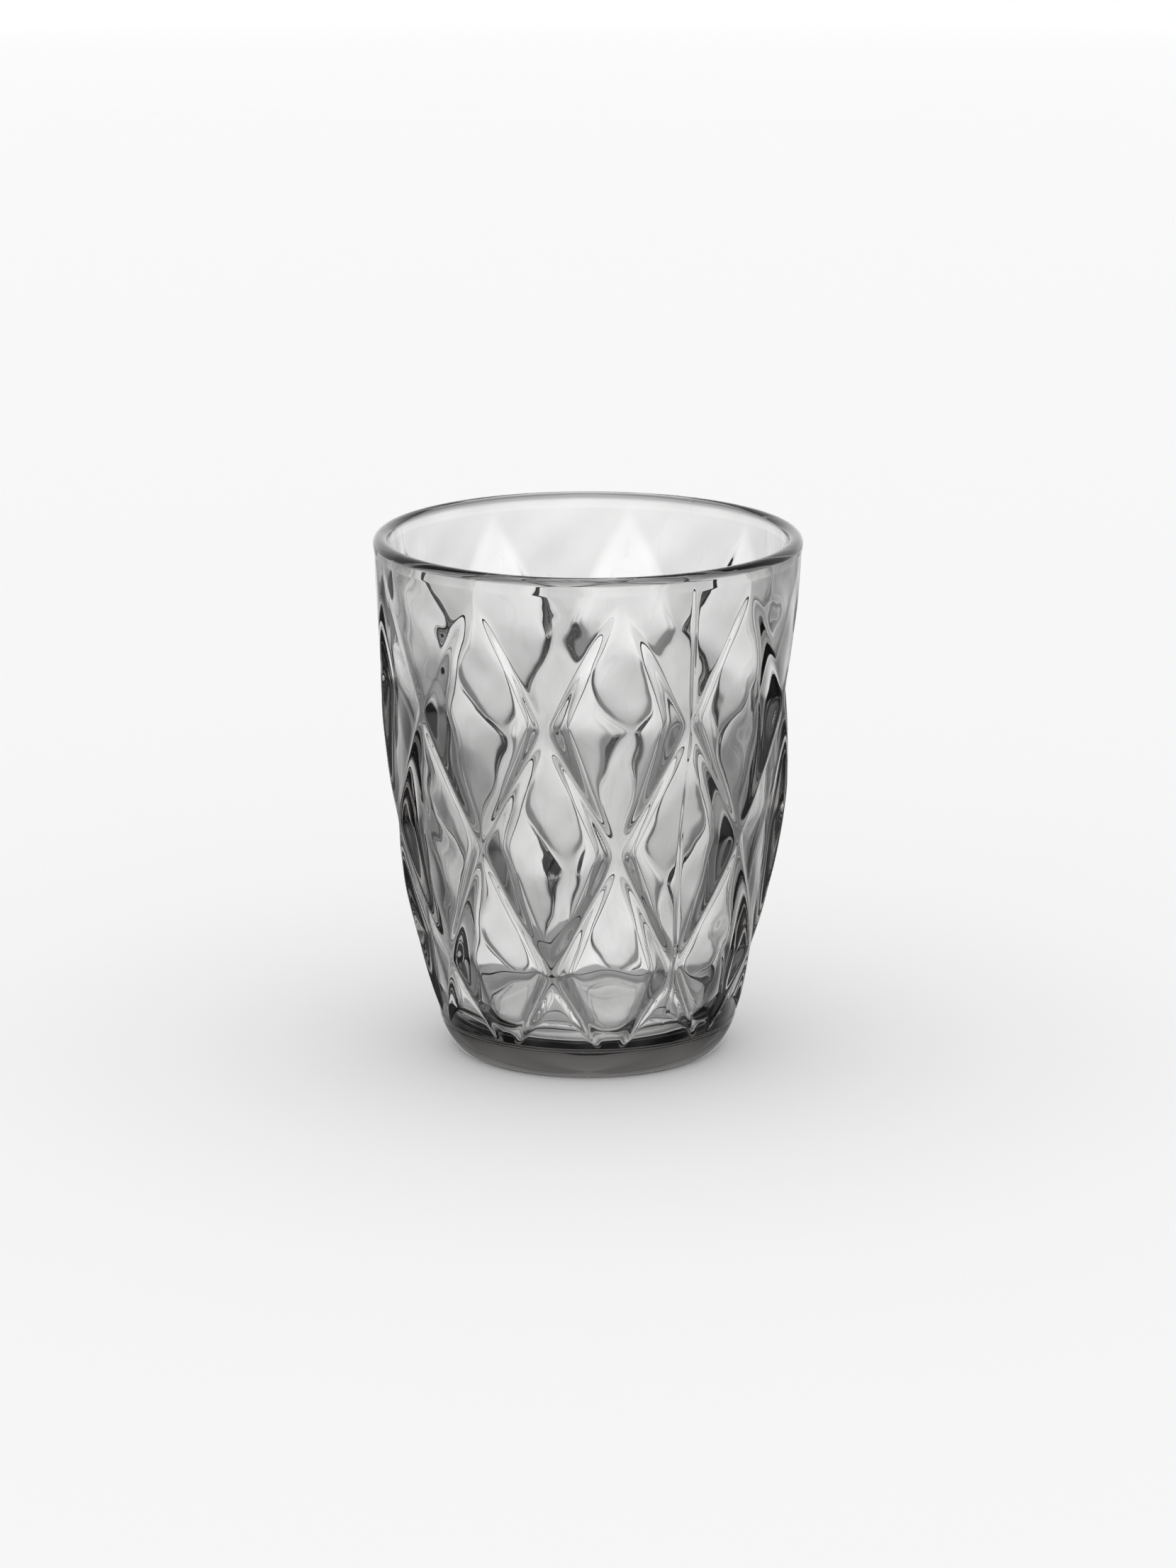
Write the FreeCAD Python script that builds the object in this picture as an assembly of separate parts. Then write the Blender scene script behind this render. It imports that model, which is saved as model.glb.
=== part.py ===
import FreeCAD, Part
import math
import os

# Pressed-glass whiskey tumbler. Millimetres, +Z up.
# The origin is the centre of the flat the glass stands on.

# Outer form
HEIGHT = 101.8
RIM_RADIUS = 41.5
WAIST_RADIUS = 40.3
WAIST_Z = 75.8
HEEL_Z = 6.5
HEEL_RADIUS = 29.08
BODY_BOW_Z = 45.8
BODY_BOW_RADIUS = 38.2
FOOT_RADIUS = 25.5
HEEL_BOW_RADIUS = 27.8
HEEL_BOW_Z = 3.0
PUNT_RADIUS = 22.4
PUNT_DEPTH = 0.8
SHOULDER_BOW_RADIUS = 29.31
SHOULDER_BOW_Z = 8.9
SHOULDER_TOP_RADIUS = 28.55
SHOULDER_TOP_Z = 12.8

# Inside of the glass
LIP_WALL = 3.2
BORE_BOW_Z = 67.8
BORE_BOW_RADIUS = 34.9
BORE_LOW_Z = 13.1
BORE_LOW_RADIUS = 26.4
FLOOR_Z = 6.4
FLOOR_RADIUS = 19.0
FLOOR_BOW_Z = 8.3
FLOOR_BOW_RADIUS = 24.0

# Pressed lattice: rows of tall sunken diamonds, each row turned half a step from the one above.
# Flat bands are left between them. From a band, a low wall and a wide slope lead down to the
# diamond's floor, which is deepest at the middle and comes up flush near the upper and lower tips.
# The lowest diamonds end on the rounded shoulder of the heel.
COLUMNS = 9
FIRST_ANGLE = -81.7
ROW_LEVELS = [99.4, 72.7, 47.6, 22.4, 3.8]
ROW_DEPTHS = [2.8, 2.8, 2.8, 2.0]
ROW_SLOPES = [9.0, 9.0, 9.0, 7.0]
BAND_HALF_WIDTH = 0.8
WALL_SINK = 9.5
SLOPE_INSET = -0.3
TIP_INSET = 0.5
TOOL_REACH = 9.0
TOOL_SPREAD = 1.3
FLOOR_OVERRUN = 1.5
# The body's arc is followed no lower than this where a diamond's tip would lie below the foot.
LOWEST_ENVELOPE_Z = -4.0
# Reach of the turned solid that keeps the pressing tools off the foot, outwards and downwards.
KEEP_REACH = 60.0


def body_arc_centre():
    """Centre and radius of the circle through the waist, the bow point and the heel."""
    arc = Part.Arc(
        FreeCAD.Vector(WAIST_RADIUS, 0, WAIST_Z),
        FreeCAD.Vector(BODY_BOW_RADIUS, 0, BODY_BOW_Z),
        FreeCAD.Vector(HEEL_RADIUS, 0, HEEL_Z),
    )
    circle = arc.toShape().Curve
    return circle.Center.x, circle.Center.z, circle.Radius


ARC_X, ARC_Z, ARC_RADIUS = body_arc_centre()


def envelope_radius(z):
    """Outer radius of the plain body at height z, before the diamonds are pressed in."""
    if z >= WAIST_Z:
        share = (z - WAIST_Z) / (HEIGHT - WAIST_Z)
        return WAIST_RADIUS + share * (RIM_RADIUS - WAIST_RADIUS)
    return ARC_X + math.sqrt(ARC_RADIUS ** 2 - (z - ARC_Z) ** 2)


def profile_point(radius, z):
    return FreeCAD.Vector(radius, 0, z)


def line(start, end):
    return Part.makeLine(start, end)


def bow(start, middle, end):
    return Part.Arc(start, middle, end).toShape()


def turned_body():
    """Plain tumbler: rounded lip, bowed wall, rounded heel, shallow punt and a smooth bore."""
    lip_radius = LIP_WALL / 2
    lip_z = HEIGHT - lip_radius
    bore_rim = RIM_RADIUS - LIP_WALL
    axis_punt = profile_point(0, PUNT_DEPTH)
    punt_edge = profile_point(PUNT_RADIUS, 0)
    foot_edge = profile_point(FOOT_RADIUS, 0)
    heel_bow = profile_point(HEEL_BOW_RADIUS, HEEL_BOW_Z)
    heel = profile_point(HEEL_RADIUS, HEEL_Z)
    body_bow = profile_point(BODY_BOW_RADIUS, BODY_BOW_Z)
    waist = profile_point(WAIST_RADIUS, WAIST_Z)
    lip_outer = profile_point(RIM_RADIUS, lip_z)
    lip_top = profile_point(RIM_RADIUS - lip_radius, HEIGHT)
    lip_inner = profile_point(bore_rim, lip_z)
    bore_bow = profile_point(BORE_BOW_RADIUS, BORE_BOW_Z)
    bore_low = profile_point(BORE_LOW_RADIUS, BORE_LOW_Z)
    floor_bow = profile_point(FLOOR_BOW_RADIUS, FLOOR_BOW_Z)
    floor_edge = profile_point(FLOOR_RADIUS, FLOOR_Z)
    floor_centre = profile_point(0, FLOOR_Z)
    edges = [
        line(axis_punt, punt_edge),
        line(punt_edge, foot_edge),
        bow(foot_edge, heel_bow, heel),
        bow(heel, body_bow, waist),
        line(waist, lip_outer),
        bow(lip_outer, lip_top, lip_inner),
        bow(lip_inner, bore_bow, bore_low),
        bow(bore_low, floor_bow, floor_edge),
        line(floor_edge, floor_centre),
        line(floor_centre, axis_punt),
    ]
    face = Part.Face(Part.Wire(edges))
    return face.revolve(FreeCAD.Vector(0, 0, 0), FreeCAD.Vector(0, 0, 1), 360)


def spike(inner, corners, outer):
    """Closed eight-faced solid from an inner point, a ring of four corners and an outer point."""
    faces = []
    for tip in (inner, outer):
        for index in range(4):
            ring = [tip, corners[index], corners[(index + 1) % 4], tip]
            faces.append(Part.Face(Part.makePolygon(ring)))
    solid = Part.Solid(Part.Shell(faces))
    if solid.Volume < 0:
        solid.reverse()
    return solid


def level(row):
    """Height of a lattice level, carried on past the last one by the same spacing."""
    if row < len(ROW_LEVELS):
        return ROW_LEVELS[row]
    return ROW_LEVELS[-1] - (ROW_LEVELS[-2] - ROW_LEVELS[-1]) * (row - len(ROW_LEVELS) + 1)


def diamond_corners(row, inset):
    """Top, left, bottom and right corners of one diamond on the plain body, facing +X."""
    half_turn = math.pi / COLUMNS
    centre_z = level(row)
    side_radius = envelope_radius(centre_z)
    half_width = side_radius * half_turn
    half_height = (level(row - 1) - level(row + 1)) / 2
    edge = math.hypot(half_width, half_height)
    inset_z = inset * edge / half_width
    inset_turn = inset * edge / half_height / side_radius
    top_z = level(row - 1) - inset_z
    bottom_z = level(row + 1) + inset_z
    turn = half_turn - inset_turn
    side_x = side_radius * math.cos(turn)
    side_y = side_radius * math.sin(turn)
    bottom_radius = envelope_radius(max(bottom_z, LOWEST_ENVELOPE_Z))
    return [
        FreeCAD.Vector(envelope_radius(top_z), 0, top_z),
        FreeCAD.Vector(side_x, side_y, centre_z),
        FreeCAD.Vector(bottom_radius, 0, bottom_z),
        FreeCAD.Vector(side_x, -side_y, centre_z),
    ]


def stretched(corners, start, factor):
    return [start + (corner - start) * factor for corner in corners]


def sloped_pit(row, inset, sink):
    """Four-sided pit through a diamond's outline, sinking to a point below its middle."""
    centre_z = level(row)
    surface = envelope_radius(centre_z)
    bottom = FreeCAD.Vector(surface - sink, 0, centre_z)
    outer = FreeCAD.Vector(surface + TOOL_REACH, 0, centre_z)
    return spike(bottom, stretched(diamond_corners(row, inset), bottom, TOOL_SPREAD), outer)


def diamond_floor(row):
    """Turned core that a row's tools stop at: two cones that meet at the middle of the diamonds."""
    corners = diamond_corners(row, BAND_HALF_WIDTH)
    middle = profile_point(envelope_radius(level(row)) - ROW_DEPTHS[row - 1], level(row))
    top = profile_point(corners[0].x, corners[0].z - TIP_INSET)
    bottom = profile_point(corners[2].x, corners[2].z + TIP_INSET)
    top_end = middle + (top - middle) * FLOOR_OVERRUN
    bottom_end = middle + (bottom - middle) * FLOOR_OVERRUN
    top_axis = profile_point(0, top_end.z)
    bottom_axis = profile_point(0, bottom_end.z)
    outline = [bottom_axis, bottom_end, middle, top_end, top_axis, bottom_axis]
    face = Part.Face(Part.makePolygon(outline))
    return face.revolve(FreeCAD.Vector(0, 0, 0), FreeCAD.Vector(0, 0, 1), 360)


def kept_foot():
    """Turned solid round the foot that no diamond reaches, with the heel's shoulder on top."""
    heel = profile_point(HEEL_RADIUS, HEEL_Z)
    shoulder_bow = profile_point(SHOULDER_BOW_RADIUS, SHOULDER_BOW_Z)
    shoulder_top = profile_point(SHOULDER_TOP_RADIUS, SHOULDER_TOP_Z)
    top_axis = profile_point(0, SHOULDER_TOP_Z)
    bottom_axis = profile_point(0, -KEEP_REACH)
    bottom_edge = profile_point(KEEP_REACH, -KEEP_REACH)
    side_edge = profile_point(KEEP_REACH, HEEL_Z)
    edges = [
        line(bottom_axis, bottom_edge),
        line(bottom_edge, side_edge),
        line(side_edge, heel),
        bow(heel, shoulder_bow, shoulder_top),
        line(shoulder_top, top_axis),
        line(top_axis, bottom_axis),
    ]
    face = Part.Face(Part.Wire(edges))
    return face.revolve(FreeCAD.Vector(0, 0, 0), FreeCAD.Vector(0, 0, 1), 360)


def diamond_tool(row):
    """Pressing tool for one diamond: low walls, wide slopes, the turned floor and the kept foot."""
    walls = sloped_pit(row, BAND_HALF_WIDTH, WALL_SINK)
    slopes = sloped_pit(row, SLOPE_INSET, ROW_SLOPES[row - 1])
    return walls.common(slopes).cut(diamond_floor(row)).cut(kept_foot())


def pressed_diamonds():
    """Every diamond tool, set round the glass."""
    step = 360.0 / COLUMNS
    tools = []
    for row in range(1, len(ROW_LEVELS)):
        tool = diamond_tool(row)
        shift = FIRST_ANGLE + (row - 1) * step / 2
        for column in range(COLUMNS):
            copy = tool.copy()
            copy.rotate(FreeCAD.Vector(0, 0, 0), FreeCAD.Vector(0, 0, 1), shift + column * step)
            tools.append(copy)
    return tools


def tumbler():
    return turned_body().cut(pressed_diamonds())


os.makedirs("parts", exist_ok=True)
glass = tumbler()
if len(glass.Solids) == 1:
    glass = glass.Solids[0]
glass.exportStep("parts/tumbler.step")
print("solids", len(glass.Solids), "valid", glass.isValid(), "volume", round(glass.Volume, 1))
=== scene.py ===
import bpy
import math
import numpy as np
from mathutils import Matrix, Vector


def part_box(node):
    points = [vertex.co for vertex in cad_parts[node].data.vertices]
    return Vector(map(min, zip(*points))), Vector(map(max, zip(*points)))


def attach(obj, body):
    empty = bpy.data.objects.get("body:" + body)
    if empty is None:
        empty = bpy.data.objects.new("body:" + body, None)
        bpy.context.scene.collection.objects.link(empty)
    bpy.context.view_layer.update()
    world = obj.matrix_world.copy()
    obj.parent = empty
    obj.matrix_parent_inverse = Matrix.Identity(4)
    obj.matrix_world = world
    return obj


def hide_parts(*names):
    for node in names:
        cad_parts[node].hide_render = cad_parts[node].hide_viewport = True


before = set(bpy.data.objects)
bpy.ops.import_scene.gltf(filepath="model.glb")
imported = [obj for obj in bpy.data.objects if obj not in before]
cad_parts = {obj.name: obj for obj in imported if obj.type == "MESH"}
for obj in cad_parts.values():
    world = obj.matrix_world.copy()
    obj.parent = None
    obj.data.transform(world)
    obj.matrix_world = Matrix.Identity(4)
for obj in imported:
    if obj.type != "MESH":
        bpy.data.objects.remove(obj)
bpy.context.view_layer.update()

# Whiskey tumbler in pressed smoke-grey glass. Lengths in millimetres until mesh_from_rings turns
# them into metres. Angles are measured about the tumbler's axis from +X.

MM_PER_METRE = 1000

LOW, HIGH = (Vector(corner) * MM_PER_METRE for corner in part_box("tumbler"))
HEIGHT = HIGH.z - LOW.z
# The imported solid's mesh has flat faces, so its tightest side is the one that the rim stays within
RIM_RADIUS = min(-LOW.x, HIGH.x, -LOW.y, HIGH.y)

# Outer form: (radius, height) of the profile's points
WAIST = (40.3, 75.8)
BODY_BOW = (38.2, 45.8)
HEEL = (29.08, 6.5)
HEEL_BOW = (27.8, 3.0)
FOOT = (25.5, 0.0)
PUNT = (22.4, 0.0)
SHOULDER_BOW = (29.31, 8.9)
SHOULDER_TOP = (28.55, 12.8)
PUNT_DEPTH = 0.8
# The pressed body ends just under the lip
BODY_TOP = 98.8

# Lip's thickness, and (radius, height) of the bore's and the floor's points
LIP_WALL = 3.2
BORE_BOW = (34.9, 67.8)
BORE_LOW = (26.4, 13.1)
FLOOR_BOW = (24.0, 8.3)
FLOOR = (19.0, 6.4)

# Pressed lattice: rows of tall sunken diamonds, each row turned half a step from the one above.
# From the bands between them, a low wall and a wide slope lead down to the diamond's floor.
COLUMNS = 9
FIRST_ANGLE = math.radians(-81.7)
ROW_LEVELS = [99.4, 72.7, 47.6, 22.4, 3.8]
ROW_DEPTHS = [2.8, 2.8, 2.8, 2.0]
ROW_SLOPES = [9.0, 9.0, 9.0, 7.0]
BAND_HALF_WIDTH = 0.8
WALL_SINK = 9.5
SLOPE_INSET = -0.3
TIP_INSET = 0.5
# How softly the creases between walls and floors, the bands' edges and the floors' folds are rounded
SOFT_CREASE = 0.5
SOFT_EDGE = 0.22
SOFT_FOLD = 0.25

# Fine upright seams left by the parts of the mould, evenly spaced
SEAMS = 3
FIRST_SEAM = math.radians(-60.7)
SEAM_HEIGHT = 0.10
SEAM_HALF_WIDTH = 0.35

# Unevenness of the surfaces, as (waves round the glass, pitch up the glass, phase). The outside and
# the bore each have their own size and shift of phase.
RIPPLES = [(3, 61.0, 0.4), (5, -37.0, 2.1), (8, 24.0, 4.0), (13, -19.0, 1.3), (17, 13.0, 5.2)]
OUTER_RIPPLE = 0.10
OUTER_SHIFT = 0.0
BORE_RIPPLE = 0.20
BORE_SHIFT = 2.0

# The bore's unevenness grows to its full size over these heights below the rim and above the floor
BORE_FADE_LIP = 12
BORE_FADE_FLOOR = 6
# A ring further out than the bore's mouth by more than this belongs to the lip, which stays even
LIP_TOLERANCE = 0.01

# Mesh fineness: points round the glass, height of a ring on the body, and rings in each other part
AROUND = COLUMNS * 88
BODY_STEP = 0.35
PUNT_RINGS = 10
FOOT_RINGS = 4
HEEL_RINGS = 12
LIP_RINGS = 18
BORE_RINGS = 110
CORNER_RINGS = 14
FLOOR_RINGS = 14

# The body's arc is followed no lower than this when a diamond's tip would lie below the foot
LOWEST_ENVELOPE = -4.0
# A radius that runs along a plane or away from it is taken to meet it far outside the glass: the
# least share of it that counts as running towards the plane, and the furthest meeting point in radii
LEAST_ALONG = 1e-3
FURTHEST_REACH = 4

# Colour sockets of a Mix node
MIX_FIRST = 6
MIX_SECOND = 7
MIX_RESULT = 2
WHITE = (1, 1, 1, 1)

# Glass: light fades as exp(-density * (1 - color) * metres), and the surface has a fine ripple
GLASS_IOR = 1.5
GLASS_COLOR = (0.50, 0.49, 0.485, 1)
GLASS_DENSITY = 98
FINE_RIPPLE_SCALE = 90
FINE_RIPPLE_DETAIL = 2
FINE_RIPPLE_STRENGTH = 0.25
FINE_RIPPLE_HEIGHT = 0.0004

# Table top, in metres: how far out it is solid, where it ends, and its drop below the foot
TABLE_COLOR = (0.95, 0.95, 0.95, 1)
TABLE_SOLID = 0.5
TABLE_EDGE = 1.6
TABLE_DROP = 0.0001

# Soft panels stand all round the set, with dimmer gaps between. Brightness by angle from the middle
# of the nearest panel, as a share of the angle to the middle of the gap.
PANELS = 8
STUDIO = [(0, 1.0), (0.42, 0.98), (0.62, 0.80), (0.80, 0.58), (1, 0.48)]
# Brightness by height above the table's level: 0 is straight down, 1 is straight up.
LIFT = [
    (0, 2.0), (0.17, 1.6), (0.27, 0.65), (0.36, 0.54), (0.435, 1.03), (0.50, 1.32),
    (0.62, 1.32), (0.72, 0.62), (0.90, 0.08), (0.96, 0.08), (1, 1.2),
]
# Brightness of the panels by angle round the set: 0 is behind the tumbler, 1 is on the camera's side.
ROUND = [(0, 1.0), (0.17, 0.97), (0.30, 0.45), (0.60, 0.35), (0.80, 1.0), (1, 1.0)]
# The panels widen upwards until they meet, and narrow below this height, in half turns.
NARROWING = 6.0
NARROW_AT = -0.10

# Camera: angle above level and metres to its target, then millimetres for the target's height over
# the foot and for the height that the picture spans there
CAMERA_ELEVATION = math.radians(14.5)
CAMERA_DISTANCE = 1.15
CAMERA_TARGET = 51.9
VIEW_HEIGHT = 305.398
SENSOR_WIDTH = 36
CLIP_START = 0.05


def circle_through(first, second, third):
    """Centre and radius, in the profile plane, of the circle through three points."""
    (ax, az), (bx, bz), (cx, cz) = first, second, third
    spread = 2 * (ax * (bz - cz) + bx * (cz - az) + cx * (az - bz))
    a2, b2, c2 = ax * ax + az * az, bx * bx + bz * bz, cx * cx + cz * cz
    x = (a2 * (bz - cz) + b2 * (cz - az) + c2 * (az - bz)) / spread
    z = (a2 * (cx - bx) + b2 * (ax - cx) + c2 * (bx - ax)) / spread
    return x, z, math.hypot(ax - x, az - z)


def arc(first, second, third, count):
    """Points after the first along the arc through three profile points."""
    x, z, radius = circle_through(first, second, third)
    angles = [math.atan2(p[1] - z, p[0] - x) for p in (first, second, third)]
    angles = np.unwrap(angles)
    turns = np.linspace(angles[0], angles[2], count + 1)[1:]
    return [(x + radius * math.cos(t), z + radius * math.sin(t)) for t in turns]


def straight(first, last, count):
    """Points after the first along a straight profile line."""
    shares = np.linspace(0, 1, count + 1)[1:]
    return [(first[0] + s * (last[0] - first[0]), first[1] + s * (last[1] - first[1])) for s in shares]


ARC_X, ARC_Z, ARC_RADIUS = circle_through(WAIST, BODY_BOW, HEEL)


def envelope_radius(z):
    """Outer radius of the plain body at height z, before the diamonds are pressed in."""
    share = (z - WAIST[1]) / (HEIGHT - WAIST[1])
    upper = WAIST[0] + share * (RIM_RADIUS - WAIST[0])
    lower = ARC_X + np.sqrt(np.maximum(ARC_RADIUS ** 2 - (z - ARC_Z) ** 2, 0))
    return np.where(z >= WAIST[1], upper, lower)


def shoulder_radius(z):
    """Radius of the heel's rounded shoulder, which ends the diamonds above the foot."""
    x, middle_z, radius = circle_through(HEEL, SHOULDER_BOW, SHOULDER_TOP)
    shoulder = x + np.sqrt(np.maximum(radius ** 2 - (z - middle_z) ** 2, 0))
    return np.where(z > SHOULDER_TOP[1], 0, shoulder)


def level(row):
    """Height of a lattice level, carried on past the last one by the same spacing."""
    if row < len(ROW_LEVELS):
        return ROW_LEVELS[row]
    return ROW_LEVELS[-1] - (ROW_LEVELS[-2] - ROW_LEVELS[-1]) * (row - len(ROW_LEVELS) + 1)


def diamond_corners(row, inset):
    """Top, side and bottom corners of one diamond on the plain body, its centre towards +X."""
    half_turn = math.pi / COLUMNS
    centre_z = level(row)
    side_radius = float(envelope_radius(centre_z))
    half_width = side_radius * half_turn
    half_height = (level(row - 1) - level(row + 1)) / 2
    edge = math.hypot(half_width, half_height)
    inset_z = inset * edge / half_width
    turn = half_turn - inset * edge / half_height / side_radius
    top_z = level(row - 1) - inset_z
    bottom_z = level(row + 1) + inset_z
    top = Vector((float(envelope_radius(top_z)), 0, top_z))
    side = Vector((side_radius * math.cos(turn), side_radius * math.sin(turn), centre_z))
    bottom = Vector((float(envelope_radius(max(bottom_z, LOWEST_ENVELOPE))), 0, bottom_z))
    return top, side, bottom


def slope_planes(row, inset, sink):
    """Normal and offset of the two planes that slope in from one side of a diamond's outline."""
    centre_z = level(row)
    surface = float(envelope_radius(centre_z))
    start = Vector((surface - sink, 0, centre_z))
    top, side, bottom = diamond_corners(row, inset)
    planes = []
    for end in (top, bottom):
        normal = (end - start).cross(side - start).normalized()
        if normal.x < 0:
            normal = -normal
        planes.append((normal, normal.dot(start)))
    return planes


def soft_max(values, softness):
    """Largest of the arrays, rounded where two of them are nearly equal."""
    top = np.maximum.reduce(values)
    return top + softness * np.log(sum(np.exp((v - top) / softness) for v in values))


def floor_radius(row, z):
    """Radius of a row's sunken floor: deepest at the diamonds' middle, flush near their tips."""
    centre_z = level(row)
    top, _, bottom = diamond_corners(row, BAND_HALF_WIDTH)
    top_z = top.z - TIP_INSET
    bottom_z = bottom.z + TIP_INSET
    middle = float(envelope_radius(centre_z)) - ROW_DEPTHS[row - 1]
    top_radius = float(envelope_radius(top_z))
    bottom_radius = float(envelope_radius(max(bottom_z, LOWEST_ENVELOPE)))
    upper = middle + (z - centre_z) * (top_radius - middle) / (top_z - centre_z)
    lower = middle + (centre_z - z) * (bottom_radius - middle) / (centre_z - bottom_z)
    return soft_max([upper, lower], SOFT_FOLD)


def seam(angle, radius):
    """Height of the mould's seams above the surface."""
    step = 2 * math.pi / SEAMS
    turn = (angle - FIRST_SEAM + step / 2) % step - step / 2
    return SEAM_HEIGHT * np.exp(-(turn * radius / SEAM_HALF_WIDTH) ** 2)


def pressed_radius(angle, z):
    """Outer radius with the diamonds pressed in, for arrays of angle and height."""
    step = 2 * math.pi / COLUMNS
    plain = envelope_radius(z)
    depth = np.zeros_like(plain)
    for row in range(1, len(ROW_LEVELS)):
        turn = (angle - FIRST_ANGLE - (row - 1) * step / 2 + step / 2) % step - step / 2
        turn = np.abs(turn)
        reaches = [floor_radius(row, z)]
        walls = slope_planes(row, BAND_HALF_WIDTH, WALL_SINK)
        slopes = slope_planes(row, SLOPE_INSET, ROW_SLOPES[row - 1])
        for normal, offset in walls + slopes:
            along = normal.x * np.cos(turn) + normal.y * np.sin(turn)
            reach = (offset - normal.z * z) / np.maximum(along, LEAST_ALONG)
            reaches.append(np.clip(reach, 0, FURTHEST_REACH * plain))
        cut = plain - soft_max(reaches, SOFT_CREASE)
        depth = np.maximum(depth, SOFT_EDGE * np.logaddexp(0, cut / SOFT_EDGE))
    # The unevenness only takes glass away, so nothing but the seams stands above the plain body
    uneven = OUTER_RIPPLE * (ripple(angle, z, OUTER_SHIFT) - 1)
    return np.maximum(plain - depth + uneven + seam(angle, plain), shoulder_radius(z))


def outer_profile():
    """Profile below the lattice: punt centre, foot and heel."""
    points = [(0.0, PUNT_DEPTH)]
    points += straight(points[-1], PUNT, PUNT_RINGS)
    points += straight(PUNT, FOOT, FOOT_RINGS)
    points += arc(FOOT, HEEL_BOW, HEEL, HEEL_RINGS)
    return points


def lip_and_bore_profile():
    """Profile above the lattice: lip, bore and floor."""
    lip_radius = LIP_WALL / 2
    lip_z = HEIGHT - lip_radius
    lip_outer = (RIM_RADIUS, lip_z)
    lip_top = (RIM_RADIUS - lip_radius, HEIGHT)
    lip_inner = (RIM_RADIUS - LIP_WALL, lip_z)
    points = [lip_outer]
    points += arc(lip_outer, lip_top, lip_inner, LIP_RINGS)
    points += arc(lip_inner, BORE_BOW, BORE_LOW, BORE_RINGS)
    points += arc(BORE_LOW, FLOOR_BOW, FLOOR, CORNER_RINGS)
    points += straight(FLOOR, (0.0, FLOOR[1]), FLOOR_RINGS)
    return points


def ripple(angle, z, shift):
    """Gentle unevenness between -1 and 1 that pressing leaves on the glass, in whole waves round it."""
    total = np.zeros_like(z)
    for turn, pitch, phase in RIPPLES:
        total += np.sin(turn * angle + 2 * math.pi * z / pitch + phase + shift)
    return total / len(RIPPLES)


def glass_rings():
    """Radius and height of every ring of the closed glass surface, from the punt to the floor."""
    angle = np.arange(AROUND) * 2 * math.pi / AROUND
    rings = []
    for radius, z in outer_profile():
        rings.append((np.full(AROUND, radius), np.full(AROUND, z)))
    rise = np.arange(HEEL[1], BODY_TOP, BODY_STEP)
    for z in rise:
        heights = np.full(AROUND, z)
        rings.append((pressed_radius(angle, heights), heights))
    for radius, z in lip_and_bore_profile():
        heights = np.full(AROUND, z)
        below_lip = max(0, (HEIGHT - z) / BORE_FADE_LIP)
        above_floor = max(0, (z - FLOOR[1]) / BORE_FADE_FLOOR)
        reach = BORE_RIPPLE * min(1, below_lip, above_floor)
        if radius > RIM_RADIUS - LIP_WALL + LIP_TOLERANCE:
            reach = 0
        rings.append((radius + reach * ripple(angle, heights, BORE_SHIFT), heights))
    return angle, rings


def mesh_from_rings(name, angle, rings):
    """Closed mesh in metres whose first and last rings shrink to points on the axis."""
    vertices = [(0, 0, float(rings[0][1][0]) / MM_PER_METRE)]
    for radius, z in rings[1:-1]:
        x = radius * np.cos(angle) / MM_PER_METRE
        y = radius * np.sin(angle) / MM_PER_METRE
        vertices += list(zip(x.tolist(), y.tolist(), (z / MM_PER_METRE).tolist()))
    last = len(vertices)
    vertices.append((0, 0, float(rings[-1][1][0]) / MM_PER_METRE))
    faces = []
    count = len(angle)
    for ring in range(len(rings) - 3):
        lower, upper = 1 + ring * count, 1 + (ring + 1) * count
        for i in range(count):
            j = (i + 1) % count
            faces.append((lower + i, lower + j, upper + j, upper + i))
    for i in range(count):
        j = (i + 1) % count
        faces.append((0, 1 + j, 1 + i))
        faces.append((last, last - count + i, last - count + j))
    mesh = bpy.data.meshes.new(name)
    mesh.from_pydata(vertices, [], faces)
    mesh.validate()
    mesh.shade_smooth()
    return mesh


def smoke_glass():
    """Clear grey glass, tinted by its thickness, with the faint ripple of pressed glass."""
    material = bpy.data.materials.new("smoke_glass")
    material.use_nodes = True
    nodes, links = material.node_tree.nodes, material.node_tree.links
    shader = nodes["Principled BSDF"]
    shader.inputs["Base Color"].default_value = WHITE
    shader.inputs["Roughness"].default_value = 0.0
    shader.inputs["IOR"].default_value = GLASS_IOR
    shader.inputs["Transmission Weight"].default_value = 1
    absorb = nodes.new("ShaderNodeVolumeAbsorption")
    absorb.inputs["Color"].default_value = GLASS_COLOR
    absorb.inputs["Density"].default_value = GLASS_DENSITY
    links.new(absorb.outputs["Volume"], nodes["Material Output"].inputs["Volume"])
    place = nodes.new("ShaderNodeTexCoord")
    noise = nodes.new("ShaderNodeTexNoise")
    noise.inputs["Scale"].default_value = FINE_RIPPLE_SCALE
    noise.inputs["Detail"].default_value = FINE_RIPPLE_DETAIL
    bump = nodes.new("ShaderNodeBump")
    bump.inputs["Strength"].default_value = FINE_RIPPLE_STRENGTH
    bump.inputs["Distance"].default_value = FINE_RIPPLE_HEIGHT
    links.new(place.outputs["Object"], noise.inputs["Vector"])
    links.new(noise.outputs["Fac"], bump.inputs["Height"])
    links.new(bump.outputs["Normal"], shader.inputs["Normal"])
    return material


def make_tumbler():
    """The tumbler's visible glass, in the place of its CAD solid."""
    angle, rings = glass_rings()
    mesh = mesh_from_rings("glass_tumbler", angle, rings)
    mesh.materials.append(smoke_glass())
    piece = bpy.data.objects.new("glass_tumbler", mesh)
    bpy.context.scene.collection.objects.link(piece)
    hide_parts("tumbler")
    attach(piece, "root")


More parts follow.
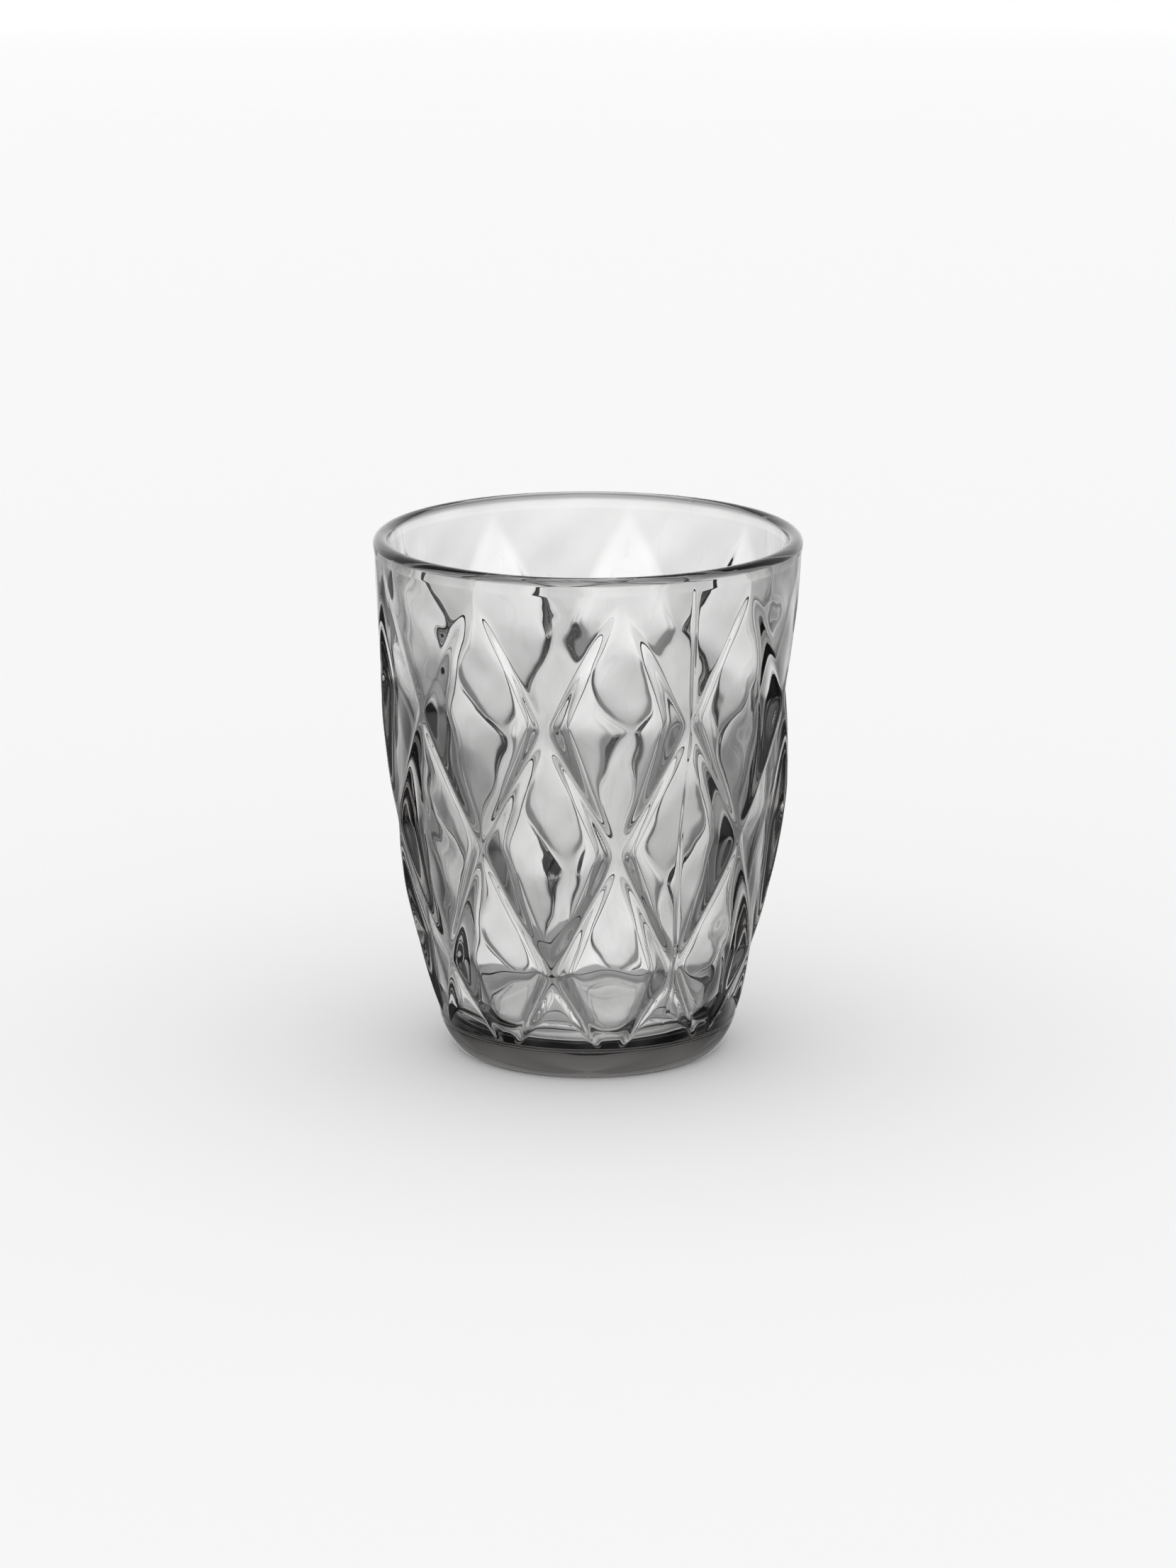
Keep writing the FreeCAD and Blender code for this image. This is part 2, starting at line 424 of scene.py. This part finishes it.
def pale_floor():
    """Pale round table top that fades into the backdrop towards its edge."""
    material = bpy.data.materials.new("pale_floor")
    material.use_nodes = True
    nodes, links = material.node_tree.nodes, material.node_tree.links
    shader = nodes["Principled BSDF"]
    shader.inputs["Base Color"].default_value = TABLE_COLOR
    shader.inputs["Roughness"].default_value = 1.0
    shader.inputs["Specular IOR Level"].default_value = 0.0
    clear = nodes.new("ShaderNodeBsdfTransparent")
    blend = nodes.new("ShaderNodeMixShader")
    place = nodes.new("ShaderNodeTexCoord")
    reach = nodes.new("ShaderNodeVectorMath")
    reach.operation = "LENGTH"
    fade = nodes.new("ShaderNodeMapRange")
    fade.inputs["From Min"].default_value = TABLE_SOLID
    fade.inputs["From Max"].default_value = TABLE_EDGE
    links.new(place.outputs["Object"], reach.inputs[0])
    links.new(reach.outputs["Value"], fade.inputs["Value"])
    links.new(fade.outputs["Result"], blend.inputs["Fac"])
    links.new(shader.outputs["BSDF"], blend.inputs[1])
    links.new(clear.outputs["BSDF"], blend.inputs[2])
    links.new(blend.outputs["Shader"], nodes["Material Output"].inputs["Surface"])
    half = TABLE_EDGE
    corners = [(-half, -half, 0), (half, -half, 0), (half, half, 0), (-half, half, 0)]
    mesh = bpy.data.meshes.new("floor")
    mesh.from_pydata(corners, [], [(0, 1, 2, 3)])
    mesh.materials.append(material)
    floor = bpy.data.objects.new("floor", mesh)
    floor.location.z = LOW.z / MM_PER_METRE - TABLE_DROP
    bpy.context.scene.collection.objects.link(floor)
    floor.visible_transmission = False
    floor.visible_glossy = False


def grey_ramp(nodes, stops):
    """Colour ramp through grey stops of (position, brightness)."""
    ramp = nodes.new("ShaderNodeValToRGB")
    elements = ramp.color_ramp.elements
    while len(elements) < len(stops):
        elements.new(0.5)
    for element, (position, value) in zip(elements, stops):
        element.position = position
        element.color = (value, value, value, 1)
    return ramp


def math_node(nodes, links, operation, first, second=None):
    """Output of a maths node on one or two sockets, the second of which may be a plain number."""
    node = nodes.new("ShaderNodeMath")
    node.operation = operation
    links.new(first, node.inputs[0])
    if isinstance(second, (int, float)):
        node.inputs[1].default_value = second
    elif second is not None:
        links.new(second, node.inputs[1])
    return node.outputs[0]


def multiplied(nodes, links, first, second):
    """Output of a node that multiplies two colours."""
    node = nodes.new("ShaderNodeMix")
    node.data_type = "RGBA"
    node.blend_type = "MULTIPLY"
    node.inputs["Factor"].default_value = 1
    links.new(first, node.inputs[MIX_FIRST])
    links.new(second, node.inputs[MIX_SECOND])
    return node.outputs[MIX_RESULT]


def studio_world():
    """Soft panels with dimmer gaps, seen in the glass; the bare backdrop itself is white."""
    world = bpy.data.worlds.new("studio")
    bpy.context.scene.world = world
    world.use_nodes = True
    nodes, links = world.node_tree.nodes, world.node_tree.links
    background = nodes["Background"]
    place = nodes.new("ShaderNodeTexCoord")
    split = nodes.new("ShaderNodeSeparateXYZ")
    links.new(place.outputs["Generated"], split.inputs["Vector"])
    turn = math_node(nodes, links, "ARCTAN2", split.outputs["X"], split.outputs["Y"])
    gap = math.pi / PANELS
    share = math_node(nodes, links, "DIVIDE", math_node(nodes, links, "PINGPONG", turn, gap), gap)
    around = grey_ramp(nodes, STUDIO)
    elevation = math_node(nodes, links, "ARCSINE", split.outputs["Z"])
    rise = math_node(nodes, links, "DIVIDE", elevation, math.pi)
    lift = grey_ramp(nodes, LIFT)
    links.new(math_node(nodes, links, "ADD", rise, 0.5), lift.inputs["Fac"])
    above = math_node(nodes, links, "SUBTRACT", rise, NARROW_AT)
    widened = math_node(nodes, links, "MULTIPLY", above, NARROWING)
    links.new(math_node(nodes, links, "SUBTRACT", share, widened), around.inputs["Fac"])
    sweep = grey_ramp(nodes, ROUND)
    aside = math_node(nodes, links, "ABSOLUTE", turn)
    links.new(math_node(nodes, links, "DIVIDE", aside, math.pi), sweep.inputs["Fac"])
    panels = multiplied(nodes, links, around.outputs["Color"], lift.outputs["Color"])
    panels = multiplied(nodes, links, panels, sweep.outputs["Color"])
    path = nodes.new("ShaderNodeLightPath")
    seen, lighting = path.outputs["Is Camera Ray"], path.outputs["Is Diffuse Ray"]
    direct = math_node(nodes, links, "MAXIMUM", seen, lighting)
    choose = nodes.new("ShaderNodeMix")
    choose.data_type = "RGBA"
    links.new(direct, choose.inputs["Factor"])
    links.new(panels, choose.inputs[MIX_FIRST])
    choose.inputs[MIX_SECOND].default_value = WHITE
    links.new(choose.outputs[MIX_RESULT], background.inputs["Color"])


def make_camera():
    """Camera on the -Y side, looking slightly down at the middle of the glass."""
    target = Vector((0, 0, (LOW.z + CAMERA_TARGET) / MM_PER_METRE))
    outward = Vector((0, -math.cos(CAMERA_ELEVATION), math.sin(CAMERA_ELEVATION)))
    data = bpy.data.cameras.new("camera")
    camera = bpy.data.objects.new("camera", data)
    bpy.context.scene.collection.objects.link(camera)
    camera.location = target + CAMERA_DISTANCE * outward
    camera.rotation_euler = (target - camera.location).to_track_quat("-Z", "Y").to_euler()
    data.sensor_width = SENSOR_WIDTH
    data.lens = SENSOR_WIDTH * CAMERA_DISTANCE * MM_PER_METRE / VIEW_HEIGHT
    data.clip_start = CLIP_START
    bpy.context.scene.camera = camera


make_tumbler()
pale_floor()
studio_world()
make_camera()
bpy.context.scene.view_settings.view_transform = "Standard"
